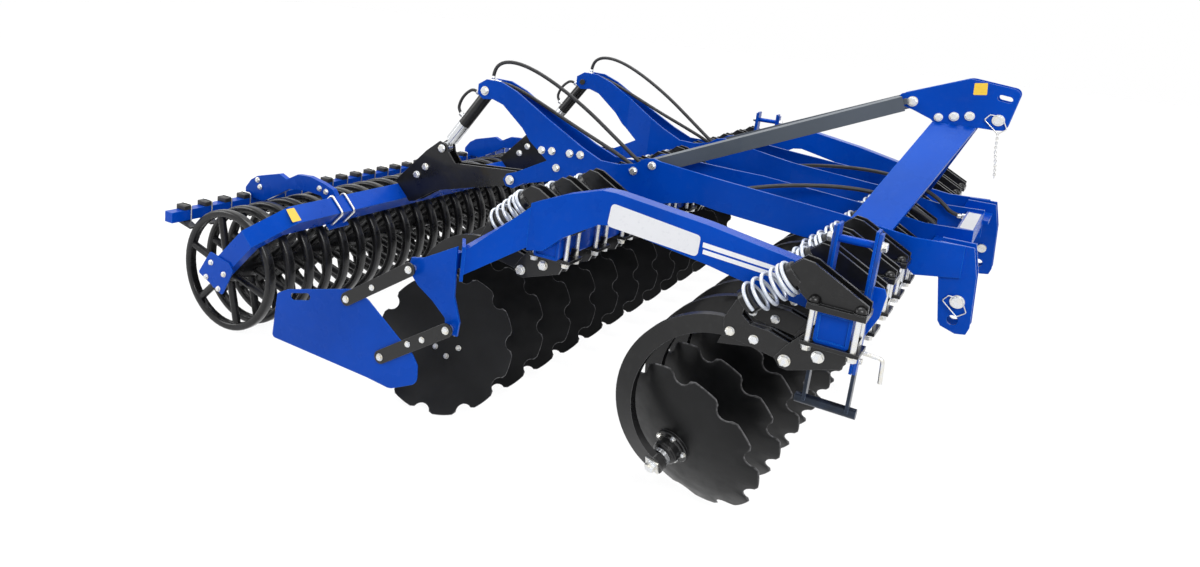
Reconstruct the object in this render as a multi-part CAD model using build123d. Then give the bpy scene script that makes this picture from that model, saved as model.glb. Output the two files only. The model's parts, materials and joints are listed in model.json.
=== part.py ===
from build123d import *
import math
import os

# Three-metre mounted compact disc harrow with two rows of sprung discs and a ring roller.
# +X points to the tractor, +Y to the left, +Z up. Heights count from the floor, and lengths
# below count from the front beam's centre, which FRONT_BEAM_X carries to the frame's origin.

# Main frame
FRONT_BEAM_X = 1292
ROW_SPACING = 1000
BEAM_Z = 754
BEAM_SIZE = 100
BEAM_HALF = BEAM_SIZE / 2
BEAM_TOP = BEAM_Z + BEAM_HALF
BEAM_CORNER = 10
CAP_INSET = 10
CAP_DEPTH = 6
FRONT_BEAM_ENDS = (-1413, 1413)
REAR_BEAM_ENDS = (-1330, 1538)
REAR_X = -ROW_SPACING
PLATE_THICK = 12
OUTER_PLATE_Y = 562.5
INNER_PLATE_Y = 250
INNER_EAR_Y = 471.5
# Inner plate's line seen from above: straight, out past the rear brackets, then along the ears
INNER_PLATE_BENDS = ((-560, INNER_PLATE_Y), (-900, 375), (-1345, 425), (-1500, INNER_EAR_Y))

# Three-point hitch
LOWER_PIN = (252, 702)
LOWER_HOLE = (249, 630)
HITCH_PIN_RADIUS = 18.3
TOP_LINK = (230, 1316)
TOP_PIN_RADIUS = 15.9

# Disc rows
UNIT_PITCH = 250
UNITS = 12
FRONT_UNIT_Y = -1375
REAR_UNIT_Y = -1250
DISC_RADIUS = 280
DISC_DEPTH = 60
DISC_THICK = 5
DISC_FLAT = 65
NOTCH_COUNT = 10
NOTCH_RADIUS = 32
DISC_X_OFFSET = -390
FRONT_DISC_SHIFT = -9
REAR_DISC_SHIFT = -95
DISC_YAW = 15.9
DISC_TILT = 24.2
DISC_FLOOR_GAP = 2
FLANGE_RADIUS = 60
FLANGE_THICK = 12
HUB_RADIUS = 42
HUB_END = 112
STUB_RADIUS = 17.5
RUNNING_GAP = 0.05
SHOULDER_RADIUS = 26
ARM_SEAT = 150
ARM_WIDTH = 62
ARM_THICK = 25
ARM_START = (-300, -89)
ARM_MIDDLE = (-565, -284)
ARM_MIDDLE_OUT = 96
SIDE_PLATE_THICK = 10
PIN_FIT = 0.1

# Spring of each disc arm, in the unit's own plane
SPRING_BOTTOM = (-257, 13)
SPRING_TOP = (-139, 125)
SPRING_COIL_RADIUS = 49
SPRING_WIRE = 12
SEAT_RADIUS = 42

# Roller
RING_COUNT = 24
RING_PITCH = 125
RING_RADIUS = 280
RING_RIM = 34
RING_WIDTH = 46
RING_SPOKES = 6
ROLLER_X = -2527
ROLLER_Z = 280
SHAFT_RADIUS = 30
RING_HUB_RADIUS = 55
ROLLER_BEAM_X = -2266
ROLLER_BEAM_Z = 559
ROLLER_BEAM_SIZE = 88
ROLLER_BEAM_SHOULDER = 1345
END_ARM_OUTER = 1532
END_ARM_INNER = 1474
END_ARM_BEND = 110
SCRAPER_BEAM_X = -2845
SCRAPER_BEAM_Z = 474
SCRAPER_BEAM_SIZE = 50
SCRAPER_BEAM_HALF_LENGTH = 1530
SCRAPER_WIDTH = 44
CARRIER_Y = 1016
CARRIER_THICK = 28

# Roller arms and their cylinders
ROLLER_PIVOT = (-1606.5, 775.6)
ROD_PIN = (-2015, 851)
BARREL_PIN = (-1793, 1168)
ARM_PLATE_Y = 30
ARM_PLATE_THICK = 8
ROLLER_ARM_Y = (OUTER_PLATE_Y + INNER_EAR_Y) / 2
CYLINDER_EYE_WIDTH = 40
BARREL_EYE_WIDTH = 68
PIN_RADIUS = 15
BARREL_RADIUS = 30
BARREL_LENGTH = 222
ROD_RADIUS = 15
EYE_RADIUS = 28

# Deflector on the right end of the rear row
DEFLECTOR_Y = -1566
LINK_Y = -1551
LINK_THICK = 10
LINK_PIN = 8
UPPER_LINK = ((-1426, 602), (-1713, 405))
LOWER_LINK = ((-1239, 419), (-1526, 222))

# Parking stands
STAND_PLACES = (("front", 0, -1285), ("rear", REAR_X, 1410))
STAND_PLATE_THICK = 8

os.makedirs("parts", exist_ok=True)


# Shared shapes
def side_plate(outline, y, thickness, holes=(), corner=0):
    face = make_face(Polyline(*outline, close=True))
    if corner:
        face = fillet(face.vertices(), corner)
    for x, z, radius in holes:
        face -= Pos(x, z) * Circle(radius)
    return Pos(0, y + thickness / 2, 0) * Rot(90, 0, 0) * extrude(face, amount=thickness)


def block(x_range, y_range, z_range):
    size = (x_range[1] - x_range[0], y_range[1] - y_range[0], z_range[1] - z_range[0])
    middle = (sum(x_range) / 2, sum(y_range) / 2, sum(z_range) / 2)
    return Pos(*middle) * Box(*size)


def rod(start, end, radius, bore=0):
    axis = Vector(*end) - Vector(*start)
    place = Plane(origin=start, z_dir=axis)
    low = (Align.CENTER, Align.CENTER, Align.MIN)
    solid = place * Cylinder(radius, axis.length, align=low)
    if bore:
        solid -= place * Cylinder(bore, axis.length, align=low)
    return solid


def cross_rod(x, z, y, width, radius, bore=0):
    return rod((x, y - width / 2, z), (x, y + width / 2, z), radius, bore)


def link_plate(start, end, y, thickness, width, hole):
    reach = math.dist(start, end)
    face = SlotCenterToCenter(reach, width)
    face -= Pos(-reach / 2, 0) * Circle(hole)
    angle = math.degrees(math.atan2(end[1] - start[1], end[0] - start[0]))
    flat = Pos((start[0] + end[0]) / 2, (start[1] + end[1]) / 2) * Rot(0, 0, angle) * face
    return Pos(0, y + thickness / 2, 0) * Rot(90, 0, 0) * extrude(flat, amount=thickness)


def flip(shape):
    return mirror(shape, about=Plane.XZ)


def save(name, *shapes):
    solids = []
    for shape in shapes:
        solids += shape.solids()
    placed = Pos(FRONT_BEAM_X, 0, 0) * Compound(children=solids)
    placed.label = name
    export_step(placed, f"parts/{name}.step")


# Rows: disc centre, axis and arm of one unit, then one copy for each place
def disc_axis(outward):
    yaw = math.radians(DISC_YAW)
    tilt = math.radians(DISC_TILT)
    level = math.cos(tilt)
    return Vector(-math.sin(yaw) * level, outward * math.cos(yaw) * level, -math.sin(tilt))


DISC_Z = DISC_RADIUS * math.cos(math.radians(DISC_TILT)) + DISC_FLOOR_GAP
ROWS = {
    # row name: beam X, first unit Y, disc shift from the unit, side the hub looks to
    "front": (0, FRONT_UNIT_Y, FRONT_DISC_SHIFT, -1),
    "rear": (REAR_X, REAR_UNIT_Y, REAR_DISC_SHIFT, 1),
}


def dish(radius, thickness=0):
    sphere = (DISC_RADIUS ** 2 + DISC_DEPTH ** 2) / (2 * DISC_DEPTH)
    return math.sqrt((sphere - thickness) ** 2 - radius ** 2) - (sphere - DISC_DEPTH)


def disc_solid():
    inner_rim = DISC_RADIUS - 2
    middle = 0.6 * DISC_RADIUS
    top = dish(DISC_FLAT)
    under = dish(DISC_FLAT, DISC_THICK)
    outline = Polyline((0, under), (0, top), (DISC_FLAT, top))
    outline += ThreePointArc((DISC_FLAT, top), (middle, dish(middle)), (DISC_RADIUS, 0))
    outline += Line((DISC_RADIUS, 0), (inner_rim, dish(inner_rim, DISC_THICK)))
    outline += ThreePointArc(
        (inner_rim, dish(inner_rim, DISC_THICK)),
        (middle, dish(middle, DISC_THICK)),
        (DISC_FLAT, under),
    )
    outline += Line((DISC_FLAT, under), (0, under))
    blade = revolve(Plane.XZ * make_face(outline), Axis.Z)
    for turn in range(NOTCH_COUNT):
        angle = math.radians(turn * 360 / NOTCH_COUNT)
        place = Pos(DISC_RADIUS * math.cos(angle), DISC_RADIUS * math.sin(angle), 0)
        blade -= place * Cylinder(NOTCH_RADIUS, 3 * DISC_DEPTH)
    blade += rod((0, 0, top), (0, 0, top + FLANGE_THICK), FLANGE_RADIUS)
    blade += rod((0, 0, top), (0, 0, HUB_END), HUB_RADIUS)
    blade -= rod((0, 0, top + FLANGE_THICK), (0, 0, HUB_END), STUB_RADIUS + RUNNING_GAP)
    return blade


def arm_solid(disc_shift, outward):
    axis = disc_axis(outward)
    disc = Vector(DISC_X_OFFSET, disc_shift, DISC_Z)
    seat = disc + axis * ARM_SEAT
    start = Vector(ARM_START[0], 0, BEAM_Z + ARM_START[1])
    middle = Vector(ARM_MIDDLE[0], disc_shift + outward * ARM_MIDDLE_OUT, BEAM_Z + ARM_MIDDLE[1])
    path = ThreePointArc(start, middle, seat)
    sections = []
    for step in range(5):
        share = step / 4
        along = path.tangent_at(share)
        lean = Vector(0, outward, 0) * (1 - share) + axis * share
        lean = lean - along * lean.dot(along)
        place = Plane(origin=path.position_at(share), x_dir=lean, z_dir=along)
        sections.append(place * Rectangle(ARM_THICK, ARM_WIDTH))
    arm = loft(sections)
    half = ARM_THICK / 2
    boss_in = disc + axis * (ARM_SEAT - half)
    boss_out = disc + axis * (ARM_SEAT + half)
    arm += rod(boss_in, boss_out, ARM_WIDTH / 2 + 4)
    arm += rod(disc + axis * (HUB_END + 1), boss_in, SHOULDER_RADIUS)
    arm += rod(disc + axis * (HUB_END - 36), boss_in, STUB_RADIUS)
    outline = [(-320, -59), (-291, 8), (-278, 36), (-262, 30), (-266, -33), (-235, -58), (-180, -61),
               (-100, -85), (-90, -135), (-118, -160), (-150, -140), (-311, -113)]
    raised = [(x, z + BEAM_Z) for x, z in outline]
    hole = [(-118, BEAM_Z - 135, PIN_RADIUS + PIN_FIT)]
    for side in (-1, 1):
        offset = side * (ARM_THICK + SIDE_PLATE_THICK) / 2
        arm += side_plate(raised, offset, SIDE_PLATE_THICK, hole)
    arm += side_plate([(-330, 604), (-300, 700), (-180, 690), (-160, 636), (-200, 628)], 0, ARM_THICK)
    return arm - spring_room() + spring_seat(SPRING_BOTTOM, 1)


def spring_seat(place, direction):
    slope = Vector(SPRING_TOP[0] - SPRING_BOTTOM[0], 0, SPRING_TOP[1] - SPRING_BOTTOM[1]).normalized()
    foot = Vector(place[0], 0, place[1] + BEAM_Z)
    return rod(foot - slope * direction * 14, foot + slope * direction * 24, SEAT_RADIUS)


def spring_room():
    slope = Vector(SPRING_TOP[0] - SPRING_BOTTOM[0], 0, SPRING_TOP[1] - SPRING_BOTTOM[1]).normalized()
    low = Vector(SPRING_BOTTOM[0], 0, SPRING_BOTTOM[1] + BEAM_Z)
    high = Vector(SPRING_TOP[0], 0, SPRING_TOP[1] + BEAM_Z)
    outer = SPRING_COIL_RADIUS + SPRING_WIRE / 2 + 0.3
    return rod(low - slope * 0.3, high + slope * 0.3, outer, SEAT_RADIUS - 1)


def spring_solid():
    slope = Vector(SPRING_TOP[0] - SPRING_BOTTOM[0], 0, SPRING_TOP[1] - SPRING_BOTTOM[1]).normalized()
    low = Vector(SPRING_BOTTOM[0], 0, SPRING_BOTTOM[1] + BEAM_Z)
    high = Vector(SPRING_TOP[0], 0, SPRING_TOP[1] + BEAM_Z)
    return rod(low, high, SPRING_COIL_RADIUS + SPRING_WIRE / 2, SEAT_RADIUS + 0.3)


def bracket_solid():
    lower = [(-58, -12), (-124, -91), (-150, -134), (-130, -160), (-106, -163), (38, -113), (60, -60), (72, -20)]
    upper = [(-75, 60), (82, 60), (82, 95), (-82, 186), (-117, 191), (-150, 160), (-118, 96)]
    half = BEAM_HALF
    solid = None
    for side in (-1, 1):
        low = side_plate([(x, z + BEAM_Z) for x, z in lower], side * 29, SIDE_PLATE_THICK)
        low -= block((-half, half), (-90, 90), (BEAM_Z - half, BEAM_Z + half))
        top = side_plate([(x, z + BEAM_Z) for x, z in upper], side * 29, SIDE_PLATE_THICK)
        pair = low + top
        solid = pair if solid is None else solid + pair
    solid += block((-82, 84), (-54, 54), (BEAM_TOP, BEAM_TOP + 18))
    solid += block((-82, 84), (-54, 54), (BEAM_Z - half - 12, BEAM_Z - half))
    for x in (-64, 64):
        for y in (-42, 42):
            solid += rod((x, y, BEAM_Z - half - 26), (x, y, BEAM_TOP + 34), 8)
            solid += rod((x, y, BEAM_TOP + 18), (x, y, BEAM_TOP + 34), 11)
    solid += cross_rod(-118, BEAM_Z - 135, 0, 78, PIN_RADIUS)
    solid += cross_rod(-27, BEAM_Z - 94, 0, 58, 12)
    return solid - spring_room() + spring_seat(SPRING_TOP, -1)


def make_rows():
    disc = disc_solid()
    spring = spring_solid()
    bracket = bracket_solid()
    springs = []
    for row, (beam_x, first_y, shift, outward) in ROWS.items():
        axis = disc_axis(outward)
        arm = arm_solid(shift, outward)
        arms = []
        brackets = []
        for unit in range(UNITS):
            y = first_y + UNIT_PITCH * unit
            centre = Vector(beam_x + DISC_X_OFFSET, y + shift, DISC_Z)
            save(f"{row}_disc_{unit + 1:02d}", Plane(origin=centre, z_dir=axis) * disc)
            arms.append(Pos(beam_x, y, 0) * arm)
            brackets.append(Pos(beam_x, y, 0) * bracket)
            springs.append(Pos(beam_x, y, 0) * spring)
        save(f"{row}_disc_arms", *arms)
        save(f"{row}_arm_brackets", *brackets)
    save("arm_springs", *springs)


# Beams, long plates and hitch
def beam(x, ends):
    solid = block((x - BEAM_HALF, x + BEAM_HALF), ends, (BEAM_Z - BEAM_HALF, BEAM_TOP))
    solid = fillet(solid.edges().filter_by(Axis.Y), BEAM_CORNER)
    inner = BEAM_HALF - CAP_INSET
    for y, side in ((ends[0], 1), (ends[1], -1)):
        depth = sorted((y, y + side * CAP_DEPTH))
        solid -= block((x - inner, x + inner), depth, (BEAM_Z - inner, BEAM_Z + inner))
    return solid


LONG_PLATE_TOP = [(240, 907), (77, 900), (-182, 932), (-397, 949), (-674, 972), (-902, 995), (-932, 1003),
                  (-973, 994), (-1012, 965), (-1090, 949), (-1171, 950), (-1268, 992), (-1330, 1025),
                  (-1454, 1091), (-1538, 1139), (-1625, 1188), (-1710, 1220), (-1790, 1222), (-1832, 1195)]
LONG_PLATE_LOW = [(-1832, 1150), (-1800, 1128), (-1745, 1134), (-1688, 1117), (-1631, 1072), (-1574, 1027),
                  (-1527, 973), (-1450, 916), (-1429, 901), (-1579, 819), (-1630, 800), (-1646, 770),
                  (-1628, 742), (-1590, 738), (-1532, 774), (-1396, 811), (-1011, BEAM_TOP), (-930, BEAM_TOP),
                  (-846, 828), (-732, 854), (-634, 841), (-521, 832), (-313, 815), (-60, BEAM_TOP),
                  (51, BEAM_TOP), (100, 765), (245, 790)]


def long_plate(y, thickness=PLATE_THICK):
    holes = [(*ROLLER_PIVOT, PIN_RADIUS + PIN_FIT), (*BARREL_PIN, PIN_RADIUS + PIN_FIT)]
    return side_plate(LONG_PLATE_TOP + LONG_PLATE_LOW, y, thickness, holes)


def inner_plate():
    half = PLATE_THICK / 2
    centre = [(300, INNER_PLATE_Y), *INNER_PLATE_BENDS, (-1900, INNER_EAR_Y)]
    near = [(x, y - half) for x, y in centre]
    far = [(x, y + half) for x, y in reversed(centre)]
    band = extrude(make_face(Polyline(*near, *far, close=True)), amount=1400)
    return band & long_plate((INNER_PLATE_Y + INNER_EAR_Y) / 2, 400)


def make_frame():
    save("front_beam", beam(0, FRONT_BEAM_ENDS))
    save("rear_beam", beam(REAR_X, REAR_BEAM_ENDS))
    outer = long_plate(OUTER_PLATE_Y)
    inner = inner_plate()
    save("outer_plates", outer, flip(outer))
    save("inner_plates", inner, flip(inner))
    ear = [(177, 774), (204, 617), (215, 600), (265, 583), (298, 589), (306, 616), (292, 804), (268, 904),
           (160, 904), (130, 800)]
    hole = [(*LOWER_PIN, HITCH_PIN_RADIUS + PIN_FIT), (*LOWER_HOLE, HITCH_PIN_RADIUS + PIN_FIT)]
    ears = []
    for y in (OUTER_PLATE_Y - PLATE_THICK, INNER_EAR_Y):
        ears.append(side_plate(ear, y, PLATE_THICK, hole))
    half = PLATE_THICK / 2
    top = block((120, 262), (INNER_PLATE_Y + half, INNER_EAR_Y - half), (846, 862))
    ears.append(top)
    ears += [flip(item) for item in ears]
    inside = INNER_PLATE_Y - half
    ears.append(block((180, 240), (-inside, inside), (835, 895)))
    save("hitch_ears", *ears)
    pin_y = (OUTER_PLATE_Y - PLATE_THICK + INNER_EAR_Y) / 2
    pin = cross_rod(*LOWER_PIN, pin_y, 130, HITCH_PIN_RADIUS)
    pin += cross_rod(*LOWER_PIN, OUTER_PLATE_Y - half + 4, 8, 24)
    top_pin = cross_rod(*TOP_LINK, 0, 146, TOP_PIN_RADIUS)
    save("hitch_pins", pin, flip(pin), top_pin)


# Mast, its legs and stays
LEG_DROP = 0.8833
LEG_THICK = 14
MAST_OUTLINE = [(109, 1462), (288, 1438), (261, 1279), (221, 1275), (162, 1276), (8, 1276), (0, 1284),
                (-68, 1311), (-130, 1330), (-125, 1370)]


def make_mast():
    hole = [(*TOP_LINK, TOP_PIN_RADIUS + PIN_FIT)]
    mast = side_plate(MAST_OUTLINE, 55, 12, hole)
    normal = Vector(0, LEG_DROP, 1).normalized()
    face = Plane(origin=(0, 61, 1276), x_dir=(1, 0, 0), z_dir=normal)
    points = []
    foot = OUTER_PLATE_Y - PLATE_THICK / 2
    for x, y in ((8, 61), (162, 61), (-31, foot), (-185, foot)):
        local = face.to_local_coords(Vector(x, y, 1276 - LEG_DROP * (y - 61)))
        points.append((local.X, local.Y))
    leg = extrude(face * make_face(Polyline(*points, close=True)), amount=-LEG_THICK)
    stay_start = Vector(-110, 92, 1334)
    stay_end = Vector(-965, 528, 955)
    stay_axis = stay_end - stay_start
    stay_place = Plane(origin=stay_start, x_dir=stay_axis.cross(Vector(0, 0, 1)), z_dir=stay_axis)
    stay = stay_place * extrude(Rectangle(40, 60), amount=stay_axis.length)
    stay += rod((-100, 61, 1343), (-100, 100, 1343), 12)
    stay += rod((-950, 520, 960), (-950, foot, 960), 12)
    save("mast_plates", mast, flip(mast), block((60, 120), (-49, 49), (1380, 1420)))
    save("mast_legs", leg, flip(leg))
    save("mast_stays", stay, flip(stay))


# Side beams: each runs outwards from the front beam to the rear beam
SIDE_BEAM_FRONT_Y = 1215
SIDE_BEAM_REAR_Y = 1350
SIDE_BEAM_WIDTH = 66
SIDE_BEAM_OUTLINE = [(-50, 742), (-50, 812), (-70, 840), (-154, 896), (-444, 956), (-752, 1003), (-801, 1004),
                     (-931, 963), (-1050, 910), (-1050, 735), (-990, 745), (-922, 808), (-801, 881),
                     (-755, 888), (-433, 825), (-334, 800)]


def side_beam(side):
    half = SIDE_BEAM_WIDTH / 2
    slope = (SIDE_BEAM_REAR_Y - SIDE_BEAM_FRONT_Y) / ROW_SPACING
    ends = ((0, SIDE_BEAM_FRONT_Y), (-1100, SIDE_BEAM_FRONT_Y + 1100 * slope))
    near = [(x, side * (y - half)) for x, y in ends]
    far = [(x, side * (y + half)) for x, y in reversed(ends)]
    band = extrude(make_face(Polyline(*near, *far, close=True)), amount=1200)
    solid = band & side_plate(SIDE_BEAM_OUTLINE, side * 1280, 400)
    return solid - block((REAR_X - BEAM_HALF, REAR_X + BEAM_HALF), REAR_BEAM_ENDS, (0, BEAM_TOP))


def make_side_beams():
    save("side_beams", side_beam(-1), side_beam(1))


# Roller, its frame, scrapers and arms
ROLLER_ARM_OUTLINE = [(-1590, 736), (-1566, 776), (-1592, 818), (-1935, 790), (-1978, 838), (-1986, 870),
                      (-2034, 884), (-2110, 822), (-2284, 638), (-2189, 543), (-2150, 556), (-2032, 634),
                      (-1644, 739)]


def make_roller():
    reach = ((RING_COUNT - 1) * RING_PITCH + RING_WIDTH) / 2
    rings = rod((ROLLER_X, -reach, ROLLER_Z), (ROLLER_X, reach, ROLLER_Z), RING_HUB_RADIUS, SHAFT_RADIUS)
    for count in range(RING_COUNT):
        y = (count - (RING_COUNT - 1) / 2) * RING_PITCH
        rim = cross_rod(ROLLER_X, ROLLER_Z, y, RING_WIDTH, RING_RADIUS, RING_RADIUS - RING_RIM)
        rim = chamfer(rim.edges().filter_by(GeomType.CIRCLE).group_by(SortBy.RADIUS)[-1], 10)
        rings += rim
        for spoke in range(RING_SPOKES):
            angle = math.radians(spoke * 360 / RING_SPOKES + 15)
            way = Vector(math.cos(angle), 0, math.sin(angle))
            hub = Vector(ROLLER_X, y, ROLLER_Z)
            rings += rod(hub + way * (RING_HUB_RADIUS - 6), hub + way * (RING_RADIUS - RING_RIM + 6), 15)
    save("roller_rings", rings)
    shaft = rod((ROLLER_X, -1468, ROLLER_Z), (ROLLER_X, 1468, ROLLER_Z), SHAFT_RADIUS - 0.01)
    shaft += rod((ROLLER_X, -1500, ROLLER_Z), (ROLLER_X, 1500, ROLLER_Z), 20)
    save("roller_shaft", shaft)


def roller_frame_bar(size):
    down = Vector(ROLLER_X - ROLLER_BEAM_X, 0, ROLLER_Z - ROLLER_BEAM_Z)
    place = Plane(origin=(ROLLER_BEAM_X, 0, ROLLER_BEAM_Z), x_dir=down, z_dir=(0, 1, 0))
    return extrude(place * Rectangle(size, size), amount=1300, both=True)


def roller_frame():
    down = Vector(ROLLER_X - ROLLER_BEAM_X, 0, ROLLER_Z - ROLLER_BEAM_Z)
    reach = down.length
    down = down.normalized()
    half = ROLLER_BEAM_SIZE / 2
    place = Plane(origin=(ROLLER_BEAM_X, 0, ROLLER_BEAM_Z), x_dir=(0, 1, 0), z_dir=Vector(0, 1, 0).cross(down))
    upper = [(0, -half), (ROLLER_BEAM_SHOULDER, -half), (END_ARM_OUTER, END_ARM_BEND - 20)]
    lower = [(END_ARM_OUTER, reach + half), (END_ARM_INNER, reach + half), (END_ARM_INNER, END_ARM_BEND + 10),
             (ROLLER_BEAM_SHOULDER + 30, half), (0, half)]
    frame = None
    for side in (1, -1):
        outline = [(side * y, s) for y, s in upper + lower]
        part = extrude(place * make_face(Polyline(*outline, close=True)), amount=half, both=True)
        frame = part if frame is None else frame + part
    frame -= rod((ROLLER_X, -1600, ROLLER_Z), (ROLLER_X, 1600, ROLLER_Z), 20 + RUNNING_GAP)
    return frame


def make_roller_frame():
    save("roller_frame_beam", roller_frame())
    half = SCRAPER_BEAM_SIZE / 2
    low = SCRAPER_BEAM_Z - half
    high = SCRAPER_BEAM_Z + half
    ends = (-SCRAPER_BEAM_HALF_LENGTH, SCRAPER_BEAM_HALF_LENGTH)
    save("scraper_beam", block((SCRAPER_BEAM_X - half, SCRAPER_BEAM_X + half), ends, (low, high)))
    scrapers = []
    back = SCRAPER_BEAM_X - half
    for count in range(RING_COUNT):
        y = (count - (RING_COUNT - 1) / 2) * RING_PITCH
        outline = [(back - 8, high + 10), (back + 52, high + 10), (back + 52, high), (back, high), (back, low),
                   (back + 40, low), (back + 95, low - 22), (back + 92, low - 31), (back - 8, low - 12)]
        scrapers.append(side_plate(outline, y, SCRAPER_WIDTH))
    save("scrapers", *scrapers)
    carriers = []
    for side in (-1, 1):
        outline = [(-2268, 621), (-2290, 650), (-2350, 668), (-2440, 684), (-2520, 678), (-2590, 640),
                   (-2640, 658), (-2790, 618), (-2835, 590), (back, 545), (back, high), (-2740, high),
                   (-2640, 553), (-2570, 596), (-2450, 610), (-2362, 606), (-2322, 563)]
        plate = side_plate(outline, side * CARRIER_Y, CARRIER_THICK)
        carriers.append(plate - roller_frame_bar(ROLLER_BEAM_SIZE))
    save("scraper_carriers", *carriers)


def roller_arm_pair():
    solid = None
    for side in (-1, 1):
        plate = side_plate(ROLLER_ARM_OUTLINE, ROLLER_ARM_Y + side * ARM_PLATE_Y, ARM_PLATE_THICK)
        solid = plate if solid is None else solid + plate
    solid += cross_rod(*ROLLER_PIVOT, ROLLER_ARM_Y, 112, PIN_RADIUS)
    solid += cross_rod(*ROD_PIN, ROLLER_ARM_Y, 2 * (ARM_PLATE_Y + 8), PIN_RADIUS)
    solid += cross_rod(-2105, 741, ROLLER_ARM_Y, 60, 12)
    solid += cross_rod(-2154, 692, ROLLER_ARM_Y, 60, 12)
    solid += cross_rod(-1760, 760, ROLLER_ARM_Y, 60, 14)
    return solid - roller_frame_bar(ROLLER_BEAM_SIZE)


def cylinder_pieces():
    top = Vector(BARREL_PIN[0], ROLLER_ARM_Y, BARREL_PIN[1])
    low = Vector(ROD_PIN[0], ROLLER_ARM_Y, ROD_PIN[1])
    way = (low - top).normalized()
    barrel = rod(top + way * 20, top + way * BARREL_LENGTH, BARREL_RADIUS)
    barrel += cross_rod(*BARREL_PIN, ROLLER_ARM_Y, BARREL_EYE_WIDTH, EYE_RADIUS)
    barrel -= rod(top + way * 60, top + way * (BARREL_LENGTH + 1), ROD_RADIUS + RUNNING_GAP)
    barrel += cross_rod(*BARREL_PIN, ROLLER_ARM_Y, 120, PIN_RADIUS)
    piston = rod(top + way * 80, low, ROD_RADIUS)
    piston += cross_rod(*ROD_PIN, ROLLER_ARM_Y, CYLINDER_EYE_WIDTH, EYE_RADIUS)
    piston -= cross_rod(*ROD_PIN, ROLLER_ARM_Y, 100, PIN_RADIUS + 3)
    clips = rod(top + way * (BARREL_LENGTH + 1), top + way * (BARREL_LENGTH + 111), 31, ROD_RADIUS)
    return barrel, piston + clips


def make_roller_arms():
    arm = roller_arm_pair()
    save("roller_arms", arm, flip(arm))
    barrel, piston = cylinder_pieces()
    for side, name in ((1, "left"), (-1, "right")):
        save(f"cylinder_barrel_{name}", barrel if side > 0 else flip(barrel))
        save(f"cylinder_rod_{name}", piston if side > 0 else flip(piston))


# Deflector at the right end of the rear row
def make_deflector():
    inner = Plane(origin=(-1050, -1358, 820), x_dir=(0, 1, 0), z_dir=(-1, 0, 0))
    outer = Plane(origin=(-1238, -1500, 672), x_dir=(0.55, 0.83, 0), z_dir=(-0.83, -0.55, 0))
    arm = loft([inner * Rectangle(66, 150), outer * Rectangle(70, 92)])
    flange = outer * extrude(Rectangle(110, 130), amount=12)
    star = side_plate([(-1245, 730), (-1390, 650), (-1440, 640), (-1452, 590), (-1400, 540), (-1330, 500),
                       (-1268, 450), (-1262, 395), (-1210, 395), (-1205, 450), (-1238, 540)], -1540, 10)
    bridge = block((-1300, -1248), (-1535, -1490), (640, 700))
    arm = arm + flange + star + bridge
    for x, z in (UPPER_LINK[0], LOWER_LINK[0]):
        arm += rod((x, -1535, z), (x, LINK_Y - 8, z), LINK_PIN)
    save("deflector_arm", arm)
    plate = [(-2092, 323), (-2036, 354), (-1687, 452), (-1613, 429), (-1441, 312), (-1383, 277), (-1355, 239),
             (-1351, 167), (-1474, 105), (-1591, 113), (-2110, 123)]
    holes = [(*UPPER_LINK[1], LINK_PIN + RUNNING_GAP), (*LOWER_LINK[1], LINK_PIN + 0.5)]
    save("deflector_plate", side_plate(plate, DEFLECTOR_Y, 6, holes))
    for name, (start, end) in (("upper", UPPER_LINK), ("lower", LOWER_LINK)):
        link = link_plate(start, end, LINK_Y, LINK_THICK, 54, LINK_PIN + RUNNING_GAP)
        link += rod((end[0], LINK_Y, end[1]), (end[0], DEFLECTOR_Y - 8, end[1]), LINK_PIN)
        save(f"deflector_{name}_link", link)


# Parking stands
STAND_GUIDE_WIDTH = 56
STAND_BAR_THICK = 10
STAND_TOP = 1050
STAND_FOOT_Z = 470


def make_stands():
    guides = []
    for name, x, y in STAND_PLACES:
        legs = None
        half = STAND_GUIDE_WIDTH / 2
        for side in (-1, 1):
            face = x + side * BEAM_HALF
            outer = face + side * STAND_PLATE_THICK
            guides.append(block(sorted((face, outer)), (y - half, y + half), (600, STAND_TOP)))
            start = outer + side * 0.3
            end = start + side * STAND_BAR_THICK
            leg = block(sorted((start, end)), (y - 18, y + 18), (STAND_FOOT_Z, STAND_TOP - 8))
            legs = leg if legs is None else legs + leg
        legs += rod((x - 90, y, STAND_FOOT_Z), (x + 90, y, STAND_FOOT_Z), 17)
        save(f"stand_leg_{name}", legs)
    save("stand_guides", *guides)


make_rows()
make_frame()
make_mast()
make_side_beams()
make_roller()
make_roller_frame()
make_roller_arms()
make_deflector()
make_stands()
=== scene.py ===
import json
from math import asin, atan2, cos, degrees, pi, radians, sin, sqrt, tan
import bmesh
import bpy
from mathutils import Matrix, Vector


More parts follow.
